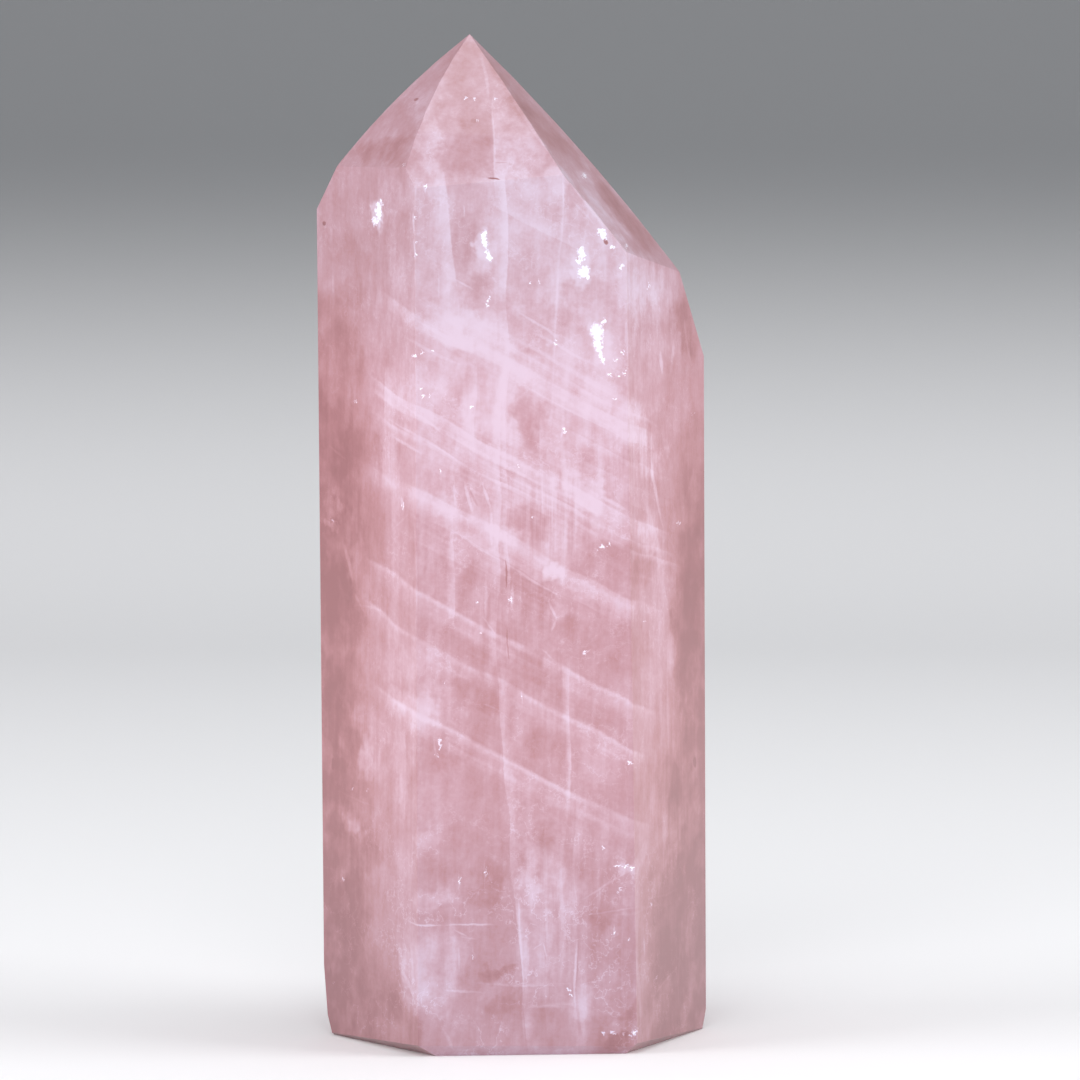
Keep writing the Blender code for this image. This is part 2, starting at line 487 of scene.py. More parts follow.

# Milky clouds (+) and clearer, deeper pink places (-): x, z, half width,
# half height (mm), turn (degrees, down to the right), strength
CLOUDS = [
    # The milk is thickest in the upper half
    (1, 100, 26, 35, 10, 0.20), (3, 123, 19, 15, 30, 0.08),
    # Tip
    (-6.5, 145.5, 4, 4.5, 0, -0.03), (-10, 136, 2.2, 5, 10, 0.05), (-12.5, 134, 2.4, 6, -10, 0.14),
    (-6, 134.5, 3.8, 5.5, 0, -0.08), (-8.5, 143, 2.2, 1.8, 0, -0.04), (2, 133, 3.5, 7, 20, 0.10),
    (6.5, 129, 2.2, 3.3, 0, 0.10), (-19.5, 132.5, 5.5, 2.4, 0, -0.14),
    (-13, 140, 4.5, 2.5, -42, 0.08), (11, 129, 2.2, 1.5, 42, 0.12),
    (22, 111.5, 4.5, 5.5, 30, 0.14), (15, 121, 4, 2, 42, 0.08),
    # Upper body
    (-20, 123.5, 1.4, 3.3, 0, 0.22), (-18, 126, 2.6, 4, 0, 0.08), (-12.5, 125, 5, 8, 0, 0.12),
    (-23, 117, 4.5, 4.8, 0, -0.06), (-21.5, 118, 1.3, 1.1, 0, 0.08), (-23.5, 112, 3.3, 2.2, 0, -0.08),
    (-15, 115.5, 4, 4, 0, 0.05), (-7, 119, 3.3, 5.5, 0, -0.10), (-4, 112, 3.3, 4, 0, -0.10),
    (3.5, 117, 4.2, 5.5, 0, -0.12), (10.5, 112.5, 3, 2.2, 0, -0.10), (6.5, 109.5, 5.5, 1.8, 10, -0.06),
    (2.5, 126.5, 4, 2.6, 0, 0.06), (12, 124.5, 4, 2.2, 40, 0.06), (18.5, 113.5, 5, 5.5, 20, 0.16),
    (16, 117.5, 2.2, 2.2, 0, 0.08), (-5, 106, 7.5, 3.2, 25, 0.15), (-12, 108.5, 5.5, 2.6, 25, 0.08),
    (-25, 103.5, 4.8, 5, 0, -0.07), (26, 106.5, 2, 8.5, -12, -0.16), (21, 103.5, 2.2, 4.4, 0, 0.06),
    (13, 102, 4, 2.2, 0, 0.06), (10.2, 116.2, 1.8, 3.2, 0, 0.22), (12.8, 105, 1.8, 3.8, -10, 0.22),
    (13.6, 120.2, 1.8, 1.2, 42, 0.14), (-3.8, 119, 1.3, 3.0, -10, 0.22), (-19.8, 123.5, 1.5, 3.3, 0, 0.18),
    # Middle
    (-22, 91, 3.3, 7, 0, -0.10), (-26, 86, 2.2, 4.8, 0, -0.06), (-21, 78.5, 4.8, 6, 0, -0.05),
    (-26.5, 67, 2.8, 7, 0, -0.20), (-26.5, 80, 1.8, 1.8, 0, 0.10), (-27, 77.5, 1.2, 0.8, 20, 0.20),
    (-12.5, 96.5, 5, 4, 10, 0.10), (-4.5, 94.5, 3.3, 5.5, 0, 0.12), (-2, 93, 1.8, 4.4, 0, 0.10),
    (2.5, 93, 2.6, 6.5, 0, -0.18), (9.5, 93.5, 3, 3, 30, -0.04), (13.5, 97, 5, 3.2, 28, 0.11),
    (17.5, 92.5, 3.8, 5, 10, 0.20), (20, 88.5, 2.6, 4.8, -15, 0.14), (10.5, 83, 5.5, 2.4, 28, 0.16),
    (15.5, 78, 6.2, 3, 28, 0.12), (20.5, 77, 2.2, 4.4, 0, 0.14), (19, 71.5, 2.6, 3, 0, -0.10),
    (9.5, 88.5, 3.3, 2.2, 28, -0.06), (-12.5, 85, 2.4, 2, 20, -0.06), (-10, 81.5, 3, 2.2, 28, 0.10),
    (2.5, 79, 4, 3.3, 20, -0.16), (-6, 78, 2.2, 1.2, 0, -0.08), (-1.5, 77, 3.3, 1.5, 28, 0.16),
    (6, 71.5, 2.4, 1.8, 15, 0.28), (10, 69, 4.4, 1.8, 28, 0.08), (-12, 73, 5, 4.4, 0, 0.03),
    (-8.5, 67.5, 1.8, 4, 0, 0.06), (-5.5, 70, 1.8, 3.3, 0, -0.08), (0.5, 68.5, 3.3, 4, 0, -0.05),
    (6, 65.5, 2.2, 2.2, 0, 0.05), (7.5, 63.5, 2.6, 2.2, 0, -0.06), (18, 60.5, 3.7, 6.2, 0, -0.10),
    (-10, 64.5, 3.3, 2.2, 0, -0.05), (-4.5, 60.5, 3.3, 2.2, 28, -0.08), (2.5, 57.5, 4, 2.2, 28, -0.10),
    (5, 56, 2.2, 2.6, 0, -0.06), (-4.5, 53.5, 4.8, 2.6, 28, -0.10), (-18, 57.5, 4.4, 4, 0, 0.06),
    (-13, 50.5, 4, 3.3, 0, 0.14), (-16.5, 52, 2.2, 2.2, 28, 0.10), (-26.5, 52, 2.2, 4, 0, -0.12),
    (-23.5, 49.5, 2.6, 2.6, 0, 0.06), (26, 62, 2.6, 11, 0, -0.20), (26.5, 84, 1.6, 9, 0, -0.08),
    (22.5, 58.5, 2.2, 8, 0, 0.06), (26, 52, 1.7, 5.5, 0, 0.05),
    # Lower body
    (-23.5, 34, 2.2, 4.5, 0, 0.10), (-25, 26, 1.6, 2, 0, 0.08), (-25.5, 12, 1.8, 3, 0, 0.08),
    (-20, 45, 3, 8, 10, 0.12), (-24, 52, 2.5, 6, 0, 0.08), (-13, 13, 5.5, 10, 0, 0.12),
    (4.5, 22, 4.5, 17, 0, 0.12), (8.5, 12, 3.5, 14, 0, 0.05), (15, 9, 3.5, 6, 0, 0.12),
    (-13, 58, 5, 4, 20, 0.08), (-11, 51.5, 6, 3.5, 25, 0.10), (20.5, 62, 2.2, 18, 0, 0.08),
    (-10, 44.5, 5, 3.3, 10, -0.12), (4, 47, 3, 3, 0, -0.10), (5, 32.5, 2.2, 3.2, 0, -0.14),
    (21.5, 45, 1.8, 3.3, 0, -0.06), (13.5, 42.5, 4.4, 4, 0, 0.05), (15.5, 34, 4, 3, 20, 0.05),
    (-22, 42, 1.6, 4.8, 12, 0.14), (-24, 32.5, 1.9, 3, 0, 0.16), (-26, 41, 1.5, 4.8, 0, -0.14),
    (-16.5, 42, 1.3, 9.5, 0, 0.08), (-21.5, 28.5, 4, 3, 0, -0.10), (-12.5, 31.5, 2.2, 2.2, 0, 0.12),
    (-10, 27.5, 4.8, 2.2, 0, -0.07), (-4, 25.5, 3.3, 4.4, 0, -0.12), (-11, 23.5, 4.8, 2.2, 0, 0.14),
    (-14.5, 13, 3, 7, -8, 0.12), (-10.5, 9, 4, 3.3, 0, 0.10), (-9.5, 15.5, 5, 4, 0, 0.10),
    (-19.5, 25.5, 2.6, 3.3, 25, 0.06), (-23.5, 20, 3.3, 7, 0, -0.08), (-23.5, 11.5, 2.2, 1.5, 30, 0.06),
    (-18, 6, 4.8, 2.6, 0, -0.12), (-21, 16, 1.8, 2.2, 0, 0.05), (-2.5, 12.5, 3.6, 1.4, -24, -0.20),
    (-1.5, 7.5, 4.4, 2.6, 0, -0.12), (2, 26.5, 1.8, 7, 0, 0.14), (8, 24, 3.3, 4.4, 0, 0.12),
    (11, 7.5, 2.6, 4, 0, 0.12), (5, 5.5, 3.3, 1.8, 0, -0.05), (14.5, 20, 4.4, 2.2, 0, -0.10),
    (23, 16, 4, 11, 0, -0.14), (23.5, 9.5, 3.3, 1.5, -25, 0.10), (27, 23.5, 1.3, 9.5, 0, -0.10),
    (22.5, 30, 2.2, 6, 18, 0.10), (15, 1.8, 4, 0.9, 0, -0.08),
    (16.8, 27.8, 1.8, 1.3, 0, 0.20), (15.8, 3.6, 3, 1.2, 0, 0.14),
]

# Fine healed cracks and wisps: from x, z, to x, z, half width (mm), strength
STROKES = [
    # Tip and upper body: first the dark band inside the right slope
    (-1.0, 141.5, 11.0, 129.8, 1.40, -0.20), (11.0, 129.8, 21.5, 117.5, 1.50, -0.20),
    (-4.5, 147.0, 3.0, 138.0, 0.80, -0.12), (8.5, 129.5, 15.5, 121.5, 0.50, 0.10),
    (-1.0, 143.2, 6.7, 130.6, 0.40, 0.12), (6.7, 130.6, 14.8, 120.0, 0.35, 0.12),
    (-4.6, 146.8, -2.8, 140.2, 0.35, 0.12), (-2.4, 140.2, -2.3, 128.8, 0.25, 0.10),
    (8.5, 125.8, 11.8, 122.2, 0.25, 0.10), (-24.8, 135.0, -22.9, 131.7, 0.25, 0.06),
    (-14.1, 124.0, -13.9, 120.7, 0.22, 0.20), (-14.0, 120.0, -13.8, 117.0, 0.25, 0.18),
    (-13.0, 128.4, -12.4, 126.6, 0.22, 0.16), (-7.0, 124.7, -6.8, 122.9, 0.15, 0.16),
    (7.2, 128.8, 7.3, 124.4, 0.20, 0.14), (21.7, 103.4, 22.0, 100.1, 0.30, 0.20),
    (23.5, 104.9, 23.5, 100.1, 0.30, 0.14), (25.0, 108.9, 26.8, 100.1, 0.25, 0.12),
    (-10.5, 115.5, -10.3, 111.5, 0.20, 0.10), (-8.3, 114.4, -5.4, 112.6, 0.20, 0.12),
    (-13.8, 108.6, -6.1, 104.5, 0.35, 0.14), (-16.3, 106.7, -7.6, 101.9, 0.35, 0.10),
    (0.5, 110.0, 7.8, 104.9, 0.30, 0.12), (2.0, 106.7, 12.9, 101.6, 0.30, 0.12),
    (17.0, 108.6, 17.3, 103.4, 0.30, 0.14),
    # Middle
    (-27.5, 89.0, -24.4, 87.2, 0.25, 0.16), (-25.1, 75.4, -24.2, 67.7, 0.30, 0.16),
    (-24.2, 67.7, -21.8, 64.0, 0.25, 0.10), (-16.2, 82.8, -15.9, 80.2, 0.35, 0.18),
    (-6.8, 85.0, -5.8, 80.2, 0.30, 0.18), (-4.2, 84.6, -3.3, 80.2, 0.25, 0.18),
    (-8.3, 85.3, -8.1, 80.2, 0.22, 0.10), (-6.1, 83.9, -5.0, 80.9, 0.22, -0.12),
    (-3.2, 80.2, -3.0, 75.0, 0.30, 0.16), (-8.7, 77.2, -1.3, 72.8, 0.25, 0.10),
    (-1.3, 72.8, 8.5, 67.7, 0.25, 0.12), (-17.8, 93.8, -7.6, 87.6, 0.25, 0.12),
    (-17.4, 91.6, -12.7, 88.7, 0.25, 0.12), (-16.3, 96.4, -9.8, 91.2, 0.25, 0.12),
    (5.6, 67.7, 6.8, 64.7, 0.30, 0.16), (6.8, 64.7, 5.8, 62.9, 0.25, 0.14),
    (-0.2, 70.3, -0.1, 65.8, 0.35, 0.18), (-4.3, 71.4, -4.0, 64.7, 0.30, 0.14),
    (-4.6, 65.5, -2.4, 62.5, 0.20, 0.10), (10.0, 59.2, 11.5, 60.3, 0.15, 0.20),
    (7.8, 92.3, 7.4, 90.9, 0.22, 0.22), (20.6, 88.7, 22.4, 76.9, 0.25, 0.20),
    (12.9, 82.4, 17.3, 80.2, 0.40, 0.14), (1.2, 54.1, 1.6, 52.2, 0.15, 0.14),
    (4.1, 60.3, 6.0, 58.5, 0.20, 0.10), (-4.6, 51.9, -2.4, 51.1, 0.20, 0.10),
    (-18.2, 77.2, -14.9, 80.2, 0.20, 0.06), (-24.0, 65.5, -18.2, 64.7, 0.25, 0.06),
    # Lower body
    (-11.2, 47.0, -10.5, 43.7, 0.20, 0.12), (-7.6, 27.5, -7.5, 23.9, 0.15, 0.14),
    (-3.9, 28.6, -3.8, 25.0, 0.15, 0.14), (-14.5, 19.6, -9.8, 19.4, 0.20, 0.24),
    (-9.8, 19.4, -2.1, 19.7, 0.20, 0.16), (-8.3, 18.7, -6.5, 17.6, 0.20, 0.16),
    (-7.9, 16.1, -7.9, 12.1, 0.22, 0.12), (-7.6, 17.6, -5.0, 17.2, 0.20, 0.08),
    (-6.1, 16.1, -5.7, 13.9, 0.20, 0.10), (-5.4, 10.4, 7.8, 10.2, 0.20, 0.10),
    (-10.1, 9.9, -4.6, 9.1, 0.22, 0.12), (2.3, 7.3, 8.2, 6.9, 0.30, 0.10),
    (-16.3, 12.4, -14.1, 8.4, 0.40, 0.10), (10.4, 23.3, 17.3, 27.2, 0.20, 0.12),
    (10.4, 20.9, 18.8, 22.0, 0.20, 0.10), (13.3, 25.3, 12.9, 22.4, 0.15, 0.10),
    (15.0, 19.4, 15.1, 17.6, 0.20, 0.16), (19.6, 16.9, 19.8, 13.9, 0.22, 0.16),
    (20.4, 22.0, 25.4, 22.8, 0.25, 0.08), (21.0, 8.0, 25.4, 11.0, 0.25, 0.12),
    (23.2, 9.5, 24.7, 12.4, 0.20, 0.10), (25.5, 14.7, 25.2, 4.0, 0.22, 0.16),
    (18.4, 16.9, 18.5, 1.4, 0.22, 0.10), (9.4, 18.0, 9.6, 6.9, 0.25, 0.18),
    # The curved boundary at the right, light on its left and dark on its right
    (21.5, 76.0, 23.3, 63.0, 1.2, 0.09), (23.3, 63.0, 23.3, 51.0, 1.2, 0.09),
    (23.3, 51.0, 21.4, 39.5, 1.2, 0.10), (21.4, 39.5, 19.8, 31.0, 1.2, 0.10),
    (19.8, 31.0, 16.8, 25.0, 1.1, 0.10), (24.6, 74.0, 26.4, 62.0, 1.0, -0.08),
    (26.4, 62.0, 26.4, 51.0, 1.0, -0.08), (26.4, 51.0, 24.6, 39.5, 1.1, -0.10),
    (24.6, 39.5, 23.0, 31.0, 1.2, -0.12), (23.0, 31.0, 19.8, 24.0, 1.2, -0.14),
    # Wisps low down
    (26.1, 23.5, 26.3, 15.0, 0.25, 0.12), (-23.7, 17.6, -21.8, 13.9, 0.22, 0.10),
    (-21.8, 13.9, -21.5, 11.7, 0.20, 0.08), (-27.0, 37.5, -19.3, 35.6, 0.20, 0.06),
    (-9.8, 4.7, -8.3, 1.4, 0.35, 0.08), (4.3, 16.9, 4.9, 14.3, 0.15, 0.14),
    (2.7, 15.8, 4.3, 16.9, 0.15, 0.12), (-1.7, 16.1, -2.4, 14.7, 0.20, 0.08),
]

# Painted glints: open cracks and bubbles that flash white in the light. x, z, half width, half height
# (mm), turn
CRACK_GLINTS = [
    # The broken cluster at the top right, and the splinter left of it
    (10.2, 118.0, 0.65, 1.20, -8), (10.5, 115.2, 1.05, 1.10, 0), (9.7, 116.8, 0.30, 0.55, 0),
    (11.0, 114.6, 0.50, 0.33, 0), (12.4, 106.6, 1.10, 1.40, 0), (12.6, 104.8, 0.70, 1.60, -8),
    (13.1, 102.7, 0.30, 1.20, -20), (13.4, 108.0, 0.30, 0.50, 0), (13.2, 121.0, 0.95, 0.60, 42),
    (14.6, 119.0, 0.45, 0.28, 42), (13.5, 120.3, 0.33, 0.60, -48), (-4.0, 120.0, 0.48, 1.45, -6),
    (-3.4, 117.8, 0.38, 1.20, -20), (-3.8, 121.1, 0.24, 0.50, 0),
    # Along the upper left edge
    (-19.6, 124.0, 0.42, 1.80, 0), (-20.2, 122.4, 0.45, 0.80, 0), (-19.2, 125.1, 0.20, 0.90, 0),
    # Small ones in the tip and upper body
    (-3.3, 111.4, 0.15, 0.55, 28), (-3.7, 110.5, 0.15, 0.33, -10), (-14.1, 103.2, 0.45, 0.30, -25),
    (-13.1, 103.6, 0.28, 0.24, -30), (-11.5, 103.9, 0.18, 0.15, 0), (-6.8, 140.6, 0.18, 0.22, 0),
    (-5.5, 140.4, 0.15, 0.18, 0), (-2.4, 140.5, 0.22, 0.22, 0), (-5.0, 137.2, 0.15, 0.15, 0),
    (16.7, 119.0, 0.25, 0.18, 0), (16.1, 116.1, 0.18, 0.55, 10), (20.1, 112.9, 0.18, 0.40, 0),
    (16.2, 103.4, 0.30, 0.28, 0), (15.1, 102.3, 0.30, 0.22, 0), (16.8, 101.1, 0.18, 0.25, 0),
    (6.4, 104.9, 0.25, 0.30, 0), (-12.5, 127.9, 0.22, 0.28, 0), (-14.0, 123.3, 0.15, 0.22, 0),
    (-13.9, 119.7, 0.15, 0.18, 0), (-13.9, 117.9, 0.18, 0.28, 0), (-15.7, 130.9, 0.22, 0.15, 0),
    (4.0, 113.9, 0.15, 0.28, 0), (2.7, 113.7, 0.15, 0.35, 10), (10.6, 129.2, 0.25, 0.42, -40),
    # Small ones in the middle
    (-10.5, 86.3, 0.22, 0.25, 0), (-5.9, 95.6, 0.28, 0.25, 0), (-13.0, 97.1, 0.18, 0.38, 25),
    (-12.0, 97.3, 0.15, 0.28, 0), (-13.2, 98.4, 0.15, 0.28, 0), (3.1, 79.4, 0.18, 0.15, 0),
    (13.3, 75.0, 0.60, 0.35, 10), (14.3, 75.4, 0.25, 0.25, 0), (12.4, 74.6, 0.22, 0.15, 0),
    (15.1, 96.7, 0.30, 0.22, 0), (14.3, 100.3, 0.25, 0.28, 0), (15.6, 100.1, 0.22, 0.25, 0),
    (16.4, 100.4, 0.18, 0.22, 0), (7.7, 92.1, 0.18, 0.50, 5), (-23.2, 95.7, 0.25, 0.15, 20),
    (-26.9, 77.7, 0.50, 0.15, 15), (-16.0, 80.9, 0.18, 0.50, 0), (-5.1, 67.1, 0.18, 0.15, 0),
    (-4.6, 62.4, 0.18, 0.15, 0), (19.5, 63.6, 0.15, 0.15, 0), (10.7, 59.5, 0.50, 0.15, -30),
    (-0.2, 67.4, 0.22, 0.55, 0), (-9.8, 55.2, 0.15, 0.15, 0), (1.3, 53.1, 0.15, 0.35, -20),
    (24.8, 77.2, 0.30, 0.22, 0), (27.2, 93.3, 0.15, 0.22, 0), (0.9, 87.0, 0.15, 0.18, 0),
    # Small ones in the lower body
    (-10.6, 46.2, 0.25, 1.00, 0), (-10.9, 44.5, 0.12, 0.42, 0), (-7.6, 26.1, 0.15, 0.55, 0),
    (-3.8, 27.4, 0.12, 0.90, 0), (-25.3, 23.9, 0.22, 0.30, 0), (16.7, 27.9, 0.40, 0.30, 0),
    (17.6, 27.5, 0.28, 0.38, 20),
    (15.4, 28.0, 0.70, 0.25, -15), (15.9, 24.7, 0.28, 0.22, -30), (15.7, 24.1, 0.12, 0.30, 10),
    (13.4, 30.7, 0.18, 0.28, -30), (8.4, 9.7, 0.18, 0.55, -12), (8.7, 8.8, 0.15, 0.42, -30),
    (13.5, 3.2, 0.32, 0.45, 0), (15.0, 3.3, 0.42, 0.28, 0), (18.1, 3.3, 0.38, 0.55, 40),
    (17.3, 2.8, 0.32, 0.25, 0), (16.3, 3.0, 0.25, 0.22, 0), (-26.9, 8.0, 0.18, 0.28, 0),
    (-21.6, 38.0, 0.22, 0.28, 0), (-23.9, 37.8, 0.18, 0.18, 0), (17.2, 17.0, 0.25, 0.18, 0),
    (20.6, 21.5, 0.18, 0.22, 0), (17.3, 43.2, 0.45, 0.25, 10), (15.0, 18.0, 0.12, 0.30, 0),
    (21.4, 10.2, 0.22, 0.40, 0), (-3.1, 25.7, 0.12, 0.15, 0), (-5.8, 14.7, 0.12, 0.30, 0),
]

# Dark specks, nicks and the shadows of cracks: x, z, half width, half height (mm), turn,
# strength
SPECKS_AND_CRACK_SHADOWS = [
    (-2.4, 128.8, 1.00, 0.15, 0, -0.70), (-13.7, 140.4, 0.44, 0.22, -20, -0.40),
    (13.9, 119.7, 0.33, 0.55, -45, -0.70), (9.7, 116.9, 0.15, 0.26, 0, -0.50),
    (-27.9, 122.0, 0.30, 0.37, 0, -0.45), (-1.4, 131.2, 1.00, 0.12, 0, -0.14),
    (-26.7, 41.3, 0.33, 1.10, 0, -0.30), (27.6, 41.2, 0.30, 0.95, 0, -0.45),
    (-26.9, 9.1, 0.18, 0.80, 0, -0.25), (-5.2, 137.3, 0.50, 0.37, 0, -0.10),
    (-1.2, 71.4, 0.18, 2.20, 0, -0.28), (-0.8, 61.1, 0.15, 2.90, 0, -0.20),
]

# Where fine upright streaks and fine slanting strands show most: as the specks
STREAKY = [
    (5, 80, 8, 8, 20, 0.50), (17, 88, 7, 9, 10, 0.32), (0, 66, 9, 7, 0, 0.22),
    (-5, 92, 9, 8, 0, 0.12), (10, 55, 9, 9, 0, 0.12), (-12, 56, 6, 12, 0, 0.10),
    (8, 22, 10, 16, 0, 0.12), (24, 30, 5, 34, 0, 0.24), (21, 128, 20, 6, 47, 0.20),
    (-24, 50, 5, 45, 0, 0.16),
]
STRANDED = [
    (0, 86, 22, 7, 28, 0.18), (8, 98, 18, 6, 28, 0.18), (-3, 72, 18, 4.5, 28, 0.14),
    (0, 58, 20, 5, 28, 0.12), (0, 42, 20, 4, 28, 0.12), (-8, 106, 12, 5, 28, 0.14),
]

# Painted shade of each polished face, by azimuth: how much lighter and milkier (+) or darker and clearer
# (-) it is painted, and how much warmer, as the light falls and refracts through the stone on that side
SIDE_PAINTED_SHADES = {
    5.1: (0.0, 0.0), 66.2: (-0.06, 0.10), 126.0: (-0.05, 0.25), 185.0: (0.0, 0.0),
    -118.0: (-0.06, 0.25), -57.0: (-0.05, 0.10),
}
POINT_PAINTED_SHADES = {
    1.3: (-0.02, 0.0), 73.3: (-0.04, 0.30), 126.8: (-0.06, 0.30), 185.0: (0.0, 0.0),
    -109.3: (-0.05, 0.25), -56.9: (-0.05, 0.0),
}
BEVEL_PAINTED_SHADES = {
    4.5: (0.15, 0.40), 62.7: (-0.14, 0.6), 120.0: (0.0, 0.4), 185.0: (0.04, 0.35),
    -118.0: (0.0, 0.4), -51.8: (-0.16, 0.6),
}


# How milky the stone is where nothing marks it, the most that haze and clouds reach
# together, and the most that the painted shade of the darker edges takes away
USUAL_MILK = 0.452
MOST_MILK = 0.77
DARKEST_PAINTED_SHADE = -0.38

# Colours from clear rose to open white cracks
ROSE_TO_MILK = [
    (0.00, (0.34, 0.145, 0.155)),
    (0.11, (0.37, 0.16, 0.172)),
    (0.22, (0.42, 0.19, 0.205)),
    (0.33, (0.485, 0.24, 0.262)),
    (0.44, (0.535, 0.305, 0.350)),
    (0.54, (0.59, 0.38, 0.445)),
    (0.63, (0.64, 0.47, 0.56)),
    (0.72, (0.71, 0.575, 0.69)),
    (0.81, (0.78, 0.68, 0.81)),
    (0.91, (0.86, 0.78, 0.90)),
    (1.00, (0.96, 0.93, 0.98)),
]

# The back's marks start behind this depth (mm)
BACK_FROM = 6.0

QUARTZ_IOR = 1.544


def stroke(x, z, to_x, to_z, half_width, strength):
    """A stroke is a very long thin spot between its two ends."""
    lean = math.degrees(math.atan2(z - to_z, to_x - x))
    half = 0.57 * math.hypot(to_x - x, to_z - z)
    return (x + to_x) / 2, (z + to_z) / 2, half, half_width, lean, strength


def reaches(row, low, high):
    """Whether a spot may show between two heights."""
    z, wide, tall, turn = row[1:5]
    lean = math.radians(turn)
    reach = math.hypot(wide * math.sin(lean), tall * math.cos(lean)) + 2.0
    return z + reach > low and z - reach < high


def haze_and_shade_between(m, bent, low, high):
    """Veils, upright sheets and level sheets that may show between two heights; the darker edges and lower
    corners among the sheets are painted shade.
    """
    axes = m.split(bent)
    across, up = m.thrice(axes["X"]), m.thrice(axes["Z"])
    slope = m.thrice(m.madd(axes["X"], VEIL_SLOPE, axes["Z"]))
    veils = [row for row in VEILS if row[0] + 4.0 > low + VEIL_SLOPE * (row[2] - 5.0)
             and row[0] - 4.0 < high + VEIL_SLOPE * (row[3] + 5.0)]
    uprights = [row for row in UPRIGHTS if row[3] + 4.0 > low and row[2] - 4.0 < high]
    levels = [row for row in LEVELS if low - 3.0 < row[0] < high + 3.0]
    haze_and_shade = m.sheets(slope, across, up, veils)
    haze_and_shade = m.add(m.sheets(across, up, up, uprights), haze_and_shade)
    if levels:
        haze_and_shade = m.add(m.sheets(up, across, up, levels), haze_and_shade)
    # The painted shade of the darker edges and lower corners goes no darker than its set limit
    return m.math("SMOOTH_MAX", haze_and_shade, DARKEST_PAINTED_SHADE, 0.20)


def threads(m, low_down):
    """Fine healed cracks where a noise crosses its middle, in patches."""
    crossing = m.math("ABSOLUTE", m.sub(m.noise(0.34, 4.0, 0.6, seed=15), 0.5))
    patch = m.ramp(m.noise(0.11, 2.0, 0.5, seed=16), 0.44, 0.58)
    thread = m.mul(m.ramp(crossing, 0.0, 0.018, 1.0, 0.0), patch)
    return m.mul(thread, m.madd(low_down, 0.12, 0.10))


def rose_colour(m, milk, shade_warmth, height, low_down):
    """Clear places are deep rose, milky ones pale lilac. The middle of the stone is the
    pinkest, and both ends are more mauve."""
    colour = m.colours(m.madd(milk, 0.74, 0.11), ROSE_TO_MILK)
    # Painted shade by facet: the warmer a face's painted shade, the darker and redder it is painted
    shade_tint = m.vector("MULTIPLY_ADD", m.thrice(shade_warmth), (-0.10, -0.20, -0.22), (1.0, 1.0, 1.0))
    high_up = m.thrice(m.ramp(height, 94.0, 120.0))
    mauve = m.vector(
        "MULTIPLY_ADD", m.thrice(low_down), (-0.11, -0.05, -0.02), (1.03, 1.01, 1.02))
    mauve = m.vector("MULTIPLY_ADD", high_up, (-0.08, 0.00, 0.01), mauve)
    return m.vector("MULTIPLY", m.vector("MULTIPLY", colour, shade_tint), mauve)


